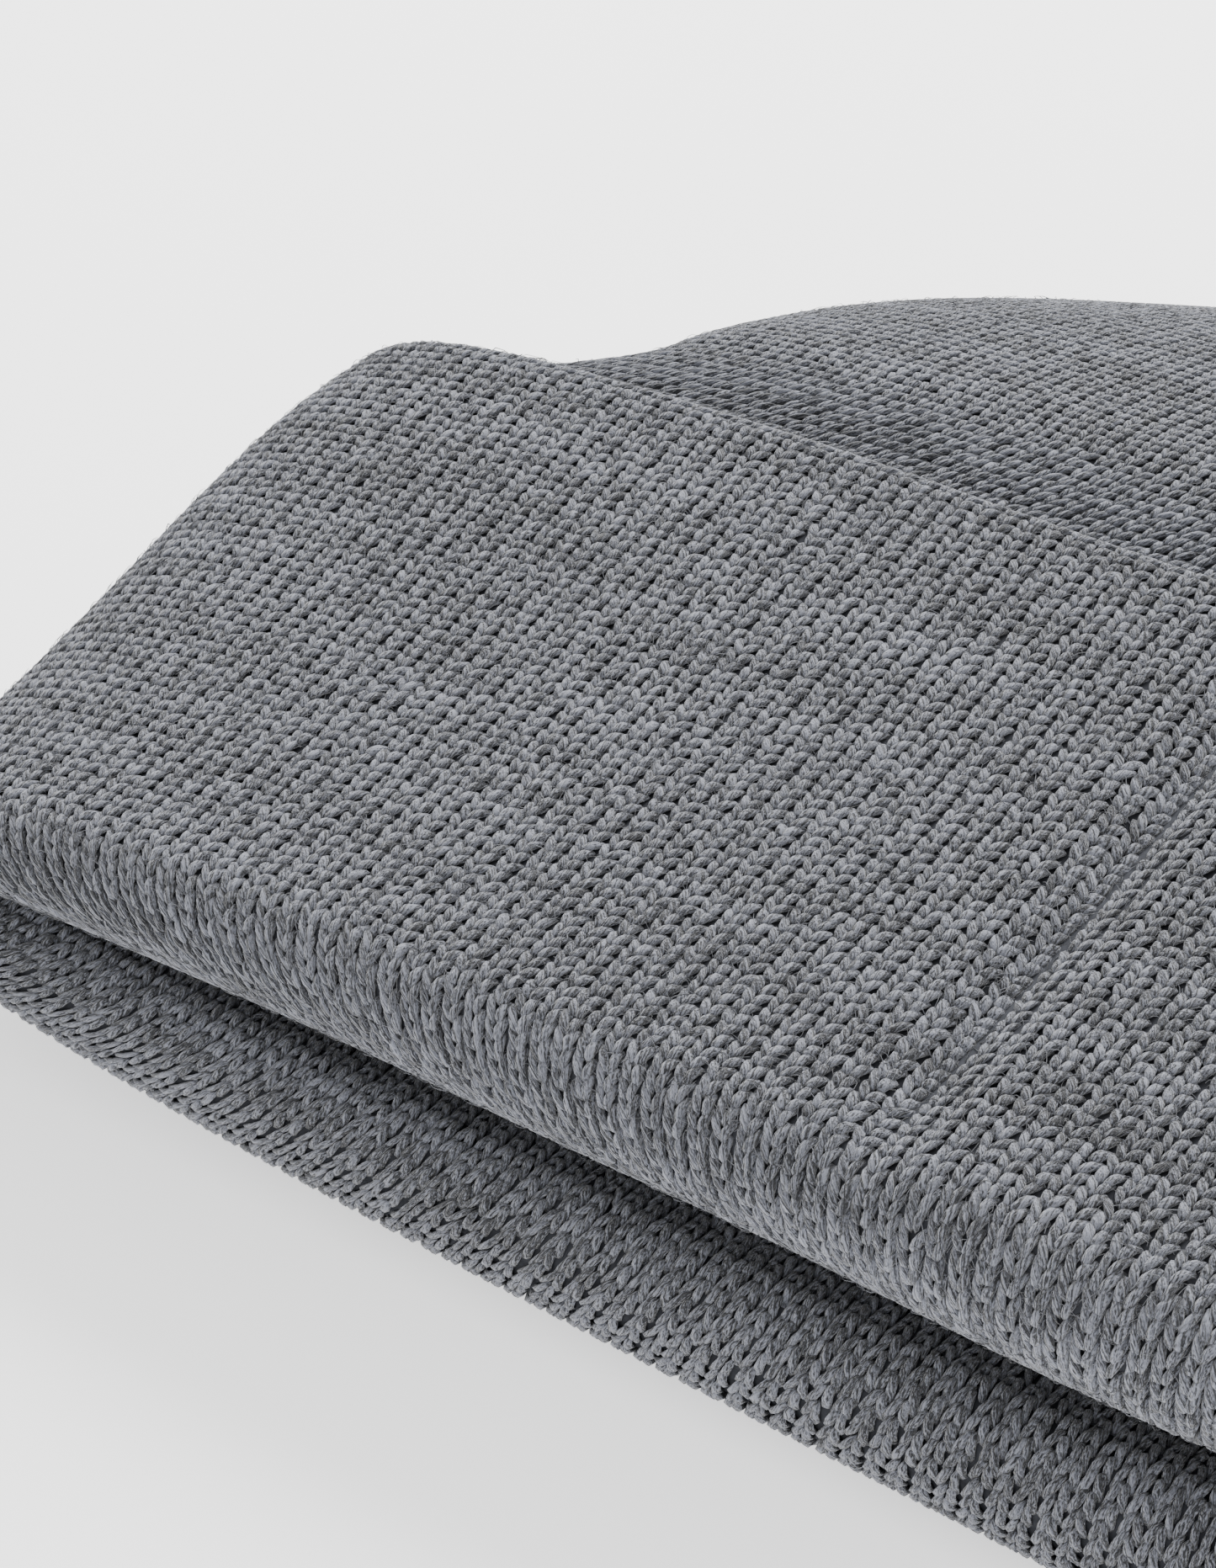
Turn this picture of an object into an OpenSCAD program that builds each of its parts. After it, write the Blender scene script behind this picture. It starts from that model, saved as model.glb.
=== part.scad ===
// Double-layer knitted beanie, lying flat with its cuff turned up and its crown puffed.
// X is the width, -Y is the mouth, +Y the crown, and Z = 0 is the surface that it lies on.
// Every ply is a closed sheet between two offsets from one base surface, the outer
// face of the hat's outer layer. Offset 0 is that face, and plus is outwards.

/* [Hat] */
// Width of the flat hat across the turned-up cuff
flat_width = 222; // [210:1:235]
// Thickness that the turned-up cuff adds to the hat
cuff_ply = 5; // [4.6:0.1:5.6]
// Y of the foremost line of the rim
rim_y = -87.5; // [-95:0.5:-82]
// Y of the crown's tip
tip_y = 98; // [92:1:110]
// Height of the upper layer over the table at the mouth
mouth_z = 19; // [19:0.2:24]
// Height that the upper layer gains along the cuff
cuff_rise = 10.8; // [8:0.2:16]
// Height that the crown bulges above the cuff's edge
crown_bulge = 3.2; // [0:0.1:6]

/* [Cuff] */
// Depth of the turned-up cuff, from the rim to its upper edge
cuff_depth = 61.5; // [55:0.5:68]
// Extra fullness of the lower rim's fold
lower_fullness = 2.5; // [1:0.1:4]
// Half width, roughly, of the front panel of the cuff that lifts
flap_half_w = 72; // [60:1:80]
// Slope of the cut that lets the panel lift without touching the rim
flap_bevel = 40; // [36:1:45]

/* [Fabric] */
// Thickness of one knitted ply
ply = 1.5; // [1.3:0.1:1.6]
// Outer face of the hat to the face of its lining
double_ply = 3.4; // [3.3:0.1:3.8]

/* [Label] */
// Width of the folded care label
label_w = 24; // [16:1:32]
// Length of the folded care label
label_l = 30; // [20:1:40]

/* [Hidden] */

grey = [0.47, 0.48, 0.51];
lining_grey = [0.44, 0.45, 0.48];
thread_grey = [0.36, 0.37, 0.40];

dome_y = -43;                  // where the outline starts to round towards the tip
gore_y = 20;                   // where the darts start
gore_gap = 0.6;                // half the angle left free for a dart's seam
side_psi = 1.2;                // angle left free where front meets back
gore_side_psi = 3;             // the same on the gores, with room for the side darts' threads
side_flare = 3;                // the cuff is this much wider at its edge than at its rim
dome_lag = 16;                 // the top stays level for this much longer
shoulder = 10;                 // the body is this much narrower behind the cuff
last_angle = 87.5;             // the gores stop here, just before the tip
lining_angle = 84;             // and the lining's gores here
across = 18;                   // steps across half the hat
upper_fullness = 0.6;          // extra fullness of the upper rim's fold
base_w = flat_width/2 - side_flare - cuff_ply;
edge_y = rim_y + cuff_depth;   // upper edge of the cuff
knot_h = 1.4;                  // how far the crown's knot stands out
knot_gap = 0.35;
centre_y = -(tip_y + knot_gap + knot_h + rim_y)/2;   // moves the hat's box onto the origin

function smooth(t) = let(u = min(1, max(0, t))) u*u*(3 - 2*u);
function ramp(y, a, b) = smooth((y - a)/(b - a));
function dome(t, n) = pow(max(0, 1 - pow(min(1, max(0, t)), n)), 1/n);

// Extra thickness of the lower rim's fold, fading along the cuff
function fullness(psi, y) =
    let(low = smooth((0.25 - sin(psi))/1.0))
    (1 - ramp(y - rim_y, 0, 34))*(lower_fullness*low + upper_fullness*(1 - low));
function cuff_out(psi, y) = cuff_ply + fullness(psi, y);

// Height of the widest line, of the upper layer and of the lower layer
function mid_z(y) = 13.2 + 8.6*ramp(y, -90, -34) - 12.8*ramp(y, -20, 69);
function upper_z(y) = mouth_z + cuff_rise*min(1, max(0, (y + 86)/62)) + crown_bulge*ramp(y, -28, -8);
function lower_z(y) = cuff_out(270, y)*(1 - ramp(y, edge_y + 1, edge_y + 23));
function half_w(y) = base_w + side_flare*ramp(y, -90, -30) - shoulder*ramp(y, -26, -12);
// Squareness of the section: full shoulders at the cuff's edge, round at the crown
function upper_n(y) = 3 + 2.1*ramp(y, -80, -30) - 3.4*ramp(y, -28, 40);

// A point of the section at y, at the angle psi, offset d outwards
function hat_point(psi, y, d) =
    let(n = sin(psi) >= 0 ? upper_n(y) : 3.2,
        r = pow(pow(abs(cos(psi)), n) + pow(abs(sin(psi)), n), -1/n),
        t = (y - dome_y)/(tip_y + d - dome_y),
        tz = (y - dome_y - dome_lag)/(tip_y + d - dome_y - dome_lag),
        w = (half_w(y) + d)*dome(t, 2.1),
        up = (upper_z(y) - mid_z(y) + d)*dome(tz, 1.6),
        down = (mid_z(y) - lower_z(y) + d)*dome(t, 3))
    [w*r*cos(psi), y + centre_y, mid_z(y) + (sin(psi) >= 0 ? up : down)*r*sin(psi)];
// Y of a station of the crown, by its angle towards the tip
function crown_y(a, d) = dome_y + (tip_y + d - dome_y)*sin(a);
gore_start = 0.2;              // angle left free between the straight part and the gores
function gore_a(d) = asin((gore_y - dome_y)/(tip_y + d - dome_y)) + gore_start;

// A point of the strip that runs from the lining round the rim's fold and up the cuff.
// q is the length along it from the foremost line, and e is the height over its face.
function strip_point(psi, q, e) =
    let(out = cuff_out(psi, rim_y),
        r = (out + double_ply)/2,
        mid = (out - double_ply)/2,
        half = 90*PI*r/180,
        a = max(-90, min(90, q/r*180/PI)),
        yc = rim_y + r)
    q < -half ? hat_point(psi, yc - q - half, -double_ply - e)
    : q <= half ? hat_point(psi, yc - (r + e)*cos(a), mid + (r + e)*sin(a))
    : hat_point(psi, yc + q - half, cuff_out(psi, yc + q - half) + e);

// A closed sheet between two grids of points, outer and inner, each a list of rows
module sheet(outer, inner) {
    rows = len(outer);
    cols = len(outer[0]);
    n = rows*cols;
    points = concat([for (r = outer) for (p = r) p], [for (r = inner) for (p = r) p]);
    quads = concat(
        [for (i = [0:rows - 2]) for (j = [0:cols - 2])
            [i*cols + j, i*cols + j + 1, (i + 1)*cols + j + 1, (i + 1)*cols + j]],
        [for (i = [0:rows - 2]) for (j = [0:cols - 2])
            [n + i*cols + j, n + (i + 1)*cols + j, n + (i + 1)*cols + j + 1, n + i*cols + j + 1]],
        [for (i = [0:rows - 2]) [i*cols, (i + 1)*cols, n + (i + 1)*cols, n + i*cols]],
        [for (i = [0:rows - 2]) let(k = i*cols + cols - 1) [k, n + k, n + k + cols, k + cols]],
        [for (j = [0:cols - 2]) [j, n + j, n + j + 1, j + 1]],
        [for (j = [0:cols - 2]) let(k = (rows - 1)*cols + j) [k, k + 1, n + k + 1, n + k]]);
    triangles = [for (f = quads) each [[f[0], f[1], f[2]], [f[0], f[2], f[3]]]];
    polyhedron(points, triangles);
}

function spread(a, b, n) = [for (i = [0:n]) a + (b - a)*i/n];

// Straight part of a ply, from y0 to y1
module body_ply(psi0, psi1, y0, y1, d, steps = across, rows = 7) {
    psis = spread(psi0, psi1, steps);
    ys = spread(y0, y1, rows);
    sheet([for (y = ys) [for (p = psis) hat_point(p, y, d)]],
          [for (y = ys) [for (p = psis) hat_point(p, y, d - ply)]]);
}

// Crown part of a ply, from the darts' start to near the tip
module gore_ply(psi0, psi1, d, last, steps = across/2, rows = 6) {
    psis = spread(psi0, psi1, steps);
    outer = spread(gore_a(d), last, rows);
    inner = spread(gore_a(d - ply), last, rows);
    sheet([for (a = outer) [for (p = psis) hat_point(p, crown_y(a, d), d)]],
          [for (a = inner) [for (p = psis) hat_point(p, crown_y(a, d - ply), d - ply)]]);
}

// Part of the strip round the rim and up the cuff; bevel delays the outer face's start
module strip_ply(psi0, psi1, q0, q1, e, steps = across, rows = 6, bevel = 0) {
    psis = spread(psi0, psi1, steps);
    sheet([for (q = spread(q0 + bevel, q1, rows)) [for (p = psis) strip_point(p, q, e)]],
          [for (q = spread(q0, q1, rows)) [for (p = psis) strip_point(p, q, e - ply)]]);
}

// A thread along a dart, thinner towards the tip
thread_r = 0.16;
module dart_thread(psi, d, last, sides = 6, rows = 10) {
    angles = spread(gore_a(d) + gore_start, last, rows);
    rings = [for (a = angles)
        let(c = hat_point(psi, crown_y(a, d), d), r = thread_r*(0.3 + 0.7*cos(a)))
        [for (k = [0:sides - 1]) c + r*[cos(60*k), 0, sin(60*k)]]];
    n = len(rings);
    points = [for (r = rings) for (p = r) p];
    walls = [for (i = [0:n - 2]) for (k = [0:sides - 1]) let(m = (k + 1) % sides) each
        [[i*sides + k, i*sides + m, (i + 1)*sides + m], [i*sides + k, (i + 1)*sides + m, (i + 1)*sides + k]]];
    ends = [[for (k = [sides - 1:-1:0]) k], [for (k = [0:sides - 1]) (n - 1)*sides + k]];
    polyhedron(points, concat(walls, ends));
}

// Angle of the lifting panel's side edges, seen from the hat's middle
flap_psi = atan2(base_w + cuff_ply, flap_half_w);
function fold_r(full) = (cuff_ply + full + double_ply)/2;
front_end = 90*PI/180*fold_r(upper_fullness);                  // where the rim's fold meets the cuff
back_end = 90*PI/180*fold_r(lower_fullness);
front_edge = front_end + cuff_depth - fold_r(upper_fullness);  // the cuff's upper edge, along the strip
back_edge = back_end + cuff_depth - fold_r(lower_fullness);
fold_tail = 1.8;                                    // the fold's tail that runs into the lining
lining_y = rim_y + 7.6;                             // where the lining starts, past the fold's tail
lining_d = -double_ply + ply;
ply_gap = 0.4;                                      // air between the hat and the cuff's backing
backing_d = ply_gap + ply;
hinge_gap = 0.4;                                    // free between the fold and the lifting panel
body_y0 = rim_y + 6;                                // the outer layer starts inside the fold
back_y0 = rim_y + 8;                                // as the lower layer does, and the backing plies
low_backing_y0 = rim_y + 10;
backing_setback = 1.2;                              // the backing ply ends short of the cuff's edge

// Outer layer of the hat
module front_body() color(grey) body_ply(side_psi, 180 - side_psi, body_y0, gore_y, 0);
module back_body() color(grey) body_ply(180, 360, back_y0, gore_y, 0);
module front_right_gore() color(grey) gore_ply(gore_side_psi, 90 - gore_gap, 0, last_angle);
module front_left_gore() color(grey) gore_ply(90 + gore_gap, 180 - gore_side_psi, 0, last_angle);
module back_left_gore() color(grey) gore_ply(180, 270 - gore_gap, 0, last_angle);
module back_right_gore() color(grey) gore_ply(270 + gore_gap, 360, 0, last_angle);

// Inner layer
module front_lining() color(lining_grey)
    body_ply(side_psi, 180 - side_psi, lining_y, gore_y, lining_d);
module back_lining() color(lining_grey) body_ply(180, 360, lining_y, gore_y, lining_d);
module front_lining_gore() color(lining_grey)
    gore_ply(gore_side_psi, 180 - gore_side_psi, lining_d, lining_angle, across);
module back_lining_gore() color(lining_grey) gore_ply(180, 360, lining_d, lining_angle, across);

// Folds of the rim, where the lining turns outwards and becomes the cuff
module front_rim_fold() color(grey)
    strip_ply(side_psi, 180 - side_psi, -front_end - fold_tail, front_end, 0, across, 6);
module back_rim_fold() color(grey) strip_ply(180, 360, -back_end - fold_tail/2, back_end, 0, across, 6);

// Cuff: its face ply, and the ply behind it that lies on the hat
face_gap = 0.2;
module cuff_face(psi0, psi1, q0, q1, steps, bevel = 0) color(grey)
    strip_ply(psi0, psi1, q0 + face_gap, q1, 0, steps, 5, bevel);
module cuff_backing(psi0, psi1, y0, steps) color(lining_grey)
    body_ply(psi0, psi1, y0, edge_y - backing_setback, backing_d, steps, 5);
bevel = cuff_ply*tan(flap_bevel);
module cuff_front_face() cuff_face(flap_psi, 180 - flap_psi, front_end + hinge_gap, front_edge, 8, bevel/2);
module cuff_front_backing() cuff_backing(flap_psi, 180 - flap_psi, back_y0, 8);
module cuff_right_face() cuff_face(side_psi, flap_psi - side_psi/2, front_end, front_edge, 6);
module cuff_right_backing() cuff_backing(side_psi, flap_psi - side_psi/2, back_y0, 6);
module cuff_left_face() cuff_face(180 - flap_psi + side_psi/2, 180 - side_psi, front_end, front_edge, 6);
module cuff_left_backing() cuff_backing(180 - flap_psi + side_psi/2, 180 - side_psi, back_y0, 6);
module cuff_back_face() cuff_face(180, 360, back_end, back_edge, across);
module cuff_back_backing() cuff_backing(180, 360, low_backing_y0, across);

// Threads that join the gores along the darts
seam_d = -ply/2;
module front_dart_seam() color(thread_grey) dart_thread(90, seam_d, last_angle);
module back_dart_seam() color(thread_grey) dart_thread(270, seam_d, last_angle);
side_dart_psi = gore_side_psi/2;
side_dart_angle = 75;          // the side darts' threads end here
module right_dart_seam() color(thread_grey) dart_thread(side_dart_psi, seam_d, side_dart_angle);
module left_dart_seam() color(thread_grey) dart_thread(180 - side_dart_psi, seam_d, side_dart_angle);

// Knots that draw the two crowns shut
module knot(y, r, h) translate([0, y + centre_y, mid_z(tip_y)]) rotate([-90, 0, 0])
    rotate_extrude($fn = 32) polygon([[0, 0], [r, 0], [r, h/2], [r*0.7, h], [0, h]]);
lining_knot_gap = 2.6;
module crown_gather() color(thread_grey) knot(tip_y + knot_gap, 3, knot_h);
module lining_gather() color(thread_grey) knot(tip_y - double_ply - lining_knot_gap, 1.5, 0.8);

// Folded care label, blank, on the lining of the lower layer, and its row of stitches
label_y = -46;
label_d = -double_ply - 0.4;
label_t = 0.6;
stitch_t = 0.25;
label_psi = atan2(label_w/2, base_w);
module label_sheet(half, y0, y1, d, t) {
    psis = spread(270 - half, 270 + half, 4);
    ys = spread(y0, y1, 3);
    sheet([for (y = ys) [for (p = psis) hat_point(p, y, d)]],
          [for (y = ys) [for (p = psis) hat_point(p, y, d - t)]]);
}
module care_label() color("white")
    label_sheet(label_psi, label_y, label_y + label_l, label_d, label_t);
module label_stitches() color(thread_grey)
    label_sheet(label_psi*0.92, label_y + 2, label_y + 2.6, label_d - label_t, stitch_t);

front_body();
back_body();
front_left_gore();
front_right_gore();
back_left_gore();
back_right_gore();
front_lining();
back_lining();
front_lining_gore();
back_lining_gore();
front_rim_fold();
back_rim_fold();
cuff_front_face();
cuff_front_backing();
cuff_left_face();
cuff_left_backing();
cuff_right_face();
cuff_right_backing();
cuff_back_face();
cuff_back_backing();
front_dart_seam();
back_dart_seam();
left_dart_seam();
right_dart_seam();
crown_gather();
lining_gather();
care_label();
label_stitches();
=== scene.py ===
"""Knit beanie lying flat, its cuff turned up. Every stitch of the knit is two plump legs of marl yarn.

The knit is made on the same surfaces as the frame's plies. A Fabric is a grid of points over a
strip of knit: its rows are courses and its columns are wales, and stitches, cloth and fuzz are
all placed on it by wale, course and height. Lengths are millimetres until a mesh is made.
"""
import math

import bpy
import numpy as np
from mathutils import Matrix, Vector


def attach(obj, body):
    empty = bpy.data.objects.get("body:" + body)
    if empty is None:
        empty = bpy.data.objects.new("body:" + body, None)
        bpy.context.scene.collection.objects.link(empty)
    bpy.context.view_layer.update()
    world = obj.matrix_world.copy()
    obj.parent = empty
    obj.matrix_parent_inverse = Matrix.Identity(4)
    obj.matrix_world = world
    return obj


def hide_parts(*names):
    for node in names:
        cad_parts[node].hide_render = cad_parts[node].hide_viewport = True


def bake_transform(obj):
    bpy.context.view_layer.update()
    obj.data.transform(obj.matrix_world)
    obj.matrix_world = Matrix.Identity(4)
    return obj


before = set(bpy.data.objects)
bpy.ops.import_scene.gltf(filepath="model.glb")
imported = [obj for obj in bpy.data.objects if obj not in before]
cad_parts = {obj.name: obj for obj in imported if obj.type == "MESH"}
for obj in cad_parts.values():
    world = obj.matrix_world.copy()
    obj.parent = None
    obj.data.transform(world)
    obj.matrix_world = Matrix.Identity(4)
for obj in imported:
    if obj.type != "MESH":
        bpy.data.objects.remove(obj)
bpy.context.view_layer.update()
MM = 0.001

# Sizes of the hat, as the frame has them
FLAT_WIDTH = 222.0
CUFF_PLY = 5.0
RIM_Y = -87.5
TIP_Y = 98.0
MOUTH_Z = 19.0
CUFF_RISE = 10.8
CROWN_BULGE = 3.2
CUFF_DEPTH = 61.5
UPPER_FULLNESS = 0.6
LOWER_FULLNESS = 2.5
DOUBLE_PLY = 3.4
DOME_Y = -43.0
DOME_LAG = 16.0
GORE_Y = 20.0
SIDE_FLARE = 3.0
SHOULDER = 10.0
KNOT_OUT = 1.75
BASE_W = FLAT_WIDTH / 2 - SIDE_FLARE - CUFF_PLY
EDGE_Y = RIM_Y + CUFF_DEPTH
CENTRE_Y = -(TIP_Y + KNOT_OUT + RIM_Y) / 2
RIM_MID_Z = 13.2            # height of the side folds at the rim
MID_RISE = 8.6              # how much they rise to the cuff's edge
MID_FALL = 12.8             # and fall again to the crown's tip
UPPER_N = 3                 # squareness of the upper half's section at the rim
SQUARER = 2.1               # how much squarer it gets up the cuff
ROUNDER = 3.4               # and how much rounder again in the crown
LOWER_N = 3.2
PLAN_N = 2.1                # roundness of the crown as seen from above,
TOP_N = 1.6                 # of its upper side as seen from the side
UNDERSIDE_N = 3             # and of its lower side
FULLNESS_REACH = 34         # the cuff's face stands out over this length from the rim

# The stations between which the section changes
MID_RISE_SPAN = (-90, -34)
MID_FALL_SPAN = (-20, 69)
FLARE_SPAN = (-90, -30)
SHOULDER_SPAN = (-26, -12)
CUFF_RISE_SPAN = (-86, -24)
BULGE_SPAN = (-28, -8)
SQUARER_SPAN = (-80, -30)
ROUNDER_SPAN = (-28, 40)
SETTLE_SPAN = (EDGE_Y + 1, EDGE_Y + 23)     # behind the cuff the underside settles on the table

# The knit
WALES = 256                 # round the hat
QUARTER = WALES // 4
COURSE = 1.12               # height of a course
LOW_CLOTH = 0.62            # depth of the cloth under the stitches' crests
CLOTH_T = 0.55
WALE = 1.75                 # width of a wale, lying flat
FLAP_WALES = 39             # from the front's middle to the lifting panel's side
SHOULDER_LENGTH = 14.0      # the body narrows over this length behind the cuff
FOLD_R = 2.3                # radius of the fold at the cuff's upper edge
HALF_TURN = math.pi

# Loose fibres
FUZZ_PER_STITCH = {"close": 3.2, "fine": 1.2, "plain": 0.7}
FUZZ_POINTS = 4
FUZZ_LENGTH = (0.7, 2.4)
FUZZ_LIFT = (0.02, 0.38)
FUZZ_ROOT = -0.12
FUZZ_LEAN = 0.45            # radians off the wale, to either side
FUZZ_STRAY = 0.6
FUZZ_R = 0.034
FUZZ_TONE = 3.5             # fibres differ from their yarn by this many tones

# Threads and label
SEAM_R = 0.24
LABEL_THREAD_R = 0.14
LABEL_W = 24.0
LABEL_L = 30.0
LABEL_Y = -46.0
LABEL_T = 0.14
LABEL_FOLD = 0.22           # radius of the label's fold
LABEL_CLEAR = 0.35
LABEL_CURL = 0.5
LABEL_STITCH = 1.6

rng = np.random.default_rng(7)


# ---------------------------------------------------------------- surfaces of the hat

def smooth(t):
    u = np.clip(t, 0, 1)
    return u * u * (3 - 2 * u)


def ramp(y, a, b):
    return smooth((y - a) / (b - a))


def dome(t, n):
    return np.maximum(0, 1 - np.clip(t, 0, 1) ** n) ** (1 / n)


def cuff_out(s, y):
    """How far the cuff's face stands out, where s is the sine of the angle round the hat."""
    low = smooth(0.25 - s)
    fullness = LOWER_FULLNESS * low + UPPER_FULLNESS * (1 - low)
    return CUFF_PLY + (1 - ramp(y - RIM_Y, 0, FULLNESS_REACH)) * fullness


def mid_z(y):
    return RIM_MID_Z + MID_RISE * ramp(y, *MID_RISE_SPAN) - MID_FALL * ramp(y, *MID_FALL_SPAN)


def upper_z(y):
    start, end = CUFF_RISE_SPAN
    rise = CUFF_RISE * np.clip((y - start) / (end - start), 0, 1)
    return MOUTH_Z + rise + CROWN_BULGE * ramp(y, *BULGE_SPAN)


def lower_z(y):
    return cuff_out(-1.0, y) * (1 - ramp(y, *SETTLE_SPAN))


def half_w(y):
    return BASE_W + SIDE_FLARE * ramp(y, *FLARE_SPAN) - SHOULDER * ramp(y, *SHOULDER_SPAN)


def upper_n(y):
    return UPPER_N + SQUARER * ramp(y, *SQUARER_SPAN) - ROUNDER * ramp(y, *ROUNDER_SPAN)


def hat_point(psi, y, d):
    """Points round the hat at angle psi, station y, offset d outwards."""
    c, s = np.cos(psi), np.sin(psi)
    n = np.where(s >= 0, upper_n(y), LOWER_N)
    r = (np.abs(c) ** n + np.abs(s) ** n) ** (-1 / n)
    reach = TIP_Y + d - DOME_Y
    t, tz = (y - DOME_Y) / reach, (y - DOME_Y - DOME_LAG) / (reach - DOME_LAG)
    w = (half_w(y) + d) * dome(t, PLAN_N)
    up = (upper_z(y) - mid_z(y) + d) * dome(tz, TOP_N)
    down = (mid_z(y) - lower_z(y) + d) * dome(t, UNDERSIDE_N)
    z = mid_z(y) + np.where(s >= 0, up, down) * r * s
    return np.stack([w * r * c, y + CENTRE_Y + 0 * c, z], -1)


# ---------------------------------------------------------------- strips of knit

WAVE_LENGTHS = (28, 75)
WAVES = [(rng.normal(size=3), rng.uniform(0, 2 * HALF_TURN), rng.uniform(*WAVE_LENGTHS)) for _ in range(7)]
SWELL_FROM = 7              # below this height the cloth doesn't swell
SWELL_FADE = 8


def swell(points):
    """Soft unevenness of the cloth, nothing where it lies on the table."""
    total = 0
    for direction, phase, length in WAVES:
        k = direction / np.linalg.norm(direction) * 2 * HALF_TURN / length
        total = total + np.sin(points @ k + phase)
    return total / len(WAVES) * smooth((points[..., 2] - SWELL_FROM) / SWELL_FADE)


class Fabric:
    """A strip of knit: points[row, column] on the crests' surface, a row a course, a column a wale."""

    def __init__(self, points, swelling=0.5):
        self.points = points
        self.normals = self._normals()
        self.points = points + swelling * swell(points)[..., None] * self.normals
        self.normals = self._normals()
        self.room = None

    def span(self, wales, b):
        """The first and last wale of the knit at each course b."""
        if self.room is None:
            return wales[0] + 0 * b, wales[1] + 0 * b
        room = np.interp(b, np.arange(len(self.room)), self.room)
        return QUARTER / 2 - room, QUARTER / 2 + room

    def _normals(self):
        along, across = np.gradient(self.points, axis=0), np.gradient(self.points, axis=1)
        n = np.cross(along, across)
        return n / np.maximum(np.linalg.norm(n, axis=-1, keepdims=True), 1e-9)

    def at(self, a, b, h):
        """Points at wale a, course b and height h."""
        rows, cols = self.points.shape[:2]
        i = np.clip(np.floor(b).astype(int), 0, rows - 2)
        j = np.clip(np.floor(a).astype(int), 0, cols - 2)
        fb, fa = (b - i)[..., None], (a - j)[..., None]
        out = 0
        for di, wb in ((0, 1 - fb), (1, fb)):
            for dj, wa in ((0, 1 - fa), (1, fa)):
                grid = self.points[i + di, j + dj] + h[..., None] * self.normals[i + di, j + dj]
                out = out + wb * wa * grid
        return out


def spaced(psi0, psi1, y, d, fractions, samples=241):
    """Points at given fractions of each row's length, from psi0 to psi1; y and d are functions of psi."""
    psi = np.linspace(psi0, psi1, samples)[None, :]
    ys, ds = y(psi), d(psi)
    line = hat_point(psi + 0 * ys, ys, ds)
    steps = np.linalg.norm(np.diff(line, axis=1), axis=-1)
    lengths = np.concatenate([np.zeros((len(line), 1)), np.cumsum(steps, 1)], 1)
    total = np.maximum(lengths[:, -1:], 1e-6)
    wanted = fractions(total)
    found = np.stack([np.interp(w, l / t, psi[0]) for w, l, t in zip(wanted, lengths, total)])
    return hat_point(found, y(found), d(found)), total


def half_fractions(total):
    return np.linspace(0, 1, 2 * QUARTER + 1)[None, :] + 0 * total


def round_strip(y, d):
    """A strip right round the hat: columns 0 to 128 over the top from +X to -X, then back underneath."""
    top, _ = spaced(0, HALF_TURN, y, d, half_fractions)
    low, _ = spaced(HALF_TURN, 2 * HALF_TURN, y, d, half_fractions)
    return Fabric(np.concatenate([top, low[:, 1:]], 1))


# The fold strip runs from deep in the lining round the rim, up the cuff, over its edge and down behind it
ROLL_DEPTH = 4.6            # the rim's roll reaches this far back from its foremost line
LINING_ROWS = round((GORE_Y - RIM_Y - ROLL_DEPTH) / COURSE)
ROLL_ROWS = 13
CUFF_ROWS = 51
EDGE_ROWS = 6
BACKING_ROWS = 50
BACKING_D = 0.4
RIM_B = LINING_ROWS + ROLL_ROWS / 2            # the foremost line
CUFF_B = LINING_ROWS + ROLL_ROWS               # where the roll turns into the cuff
EDGE_B = CUFF_B + CUFF_ROWS
BACKING_B = EDGE_B + EDGE_ROWS
END_B = BACKING_B + BACKING_ROWS


PULLED_WALE = 78            # a wale of the front that lies drawn in along the cuff
PULLED_DIP = 1.7
PULLED_WIDTH = 1.2


def fold_strip():
    b = np.arange(END_B + 1.0)[:, None]

    def parts(psi):
        s = np.sin(psi) + 0 * b
        out = cuff_out(s, RIM_Y)
        r, mid = (out + DOUBLE_PLY) / 2, (out - DOUBLE_PLY) / 2
        centre = RIM_Y + r
        turn = np.clip((b - RIM_B) / ROLL_ROWS, -0.5, 0.5) * HALF_TURN
        lining_y = centre + (LINING_ROWS - b) / LINING_ROWS * (GORE_Y - centre)
        cuff_y = centre + (b - CUFF_B) / CUFF_ROWS * (EDGE_Y - FOLD_R - centre)
        over = np.clip((b - EDGE_B) / EDGE_ROWS, 0, 1) * HALF_TURN
        back_y = EDGE_Y - FOLD_R - (b - BACKING_B) / BACKING_ROWS * (EDGE_Y - FOLD_R - centre)
        face_d = cuff_out(s, EDGE_Y)
        fold_r = (face_d - BACKING_D) / 2
        stretches = [b < LINING_ROWS, b <= CUFF_B, b <= EDGE_B, b <= BACKING_B]
        edge_y = EDGE_Y - FOLD_R * (1 - np.sin(over))
        edge_d = BACKING_D + fold_r * (1 + np.cos(over))
        y = np.select(stretches, [lining_y, centre - r * np.cos(turn), cuff_y, edge_y], back_y)
        d = np.select(stretches, [-DOUBLE_PLY + 0 * s, mid + r * np.sin(turn), cuff_out(s, cuff_y), edge_d],
                      BACKING_D + 0 * s)
        return y, d

    strip = round_strip(lambda psi: parts(psi)[0], lambda psi: parts(psi)[1])
    across = np.arange(strip.points.shape[1])[None, :] - PULLED_WALE
    dip = PULLED_DIP * np.exp(-across ** 2 / PULLED_WIDTH ** 2) * ramp(b, CUFF_B - 6, CUFF_B + 8)
    dip = dip * (1 - ramp(b, EDGE_B - 10, EDGE_B))
    strip.points = strip.points - dip[..., None] * strip.normals
    return strip


# The shell runs from under the cuff to where the darts start
SHELL_Y = RIM_Y + 7
UNDER_CUFF = 10             # it is in full detail this far in under the cuff's edge
SHELL_ROWS = round((GORE_Y - SHELL_Y) / COURSE)
SHELL_OPEN_B = (EDGE_Y - UNDER_CUFF - SHELL_Y) / COURSE


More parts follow.
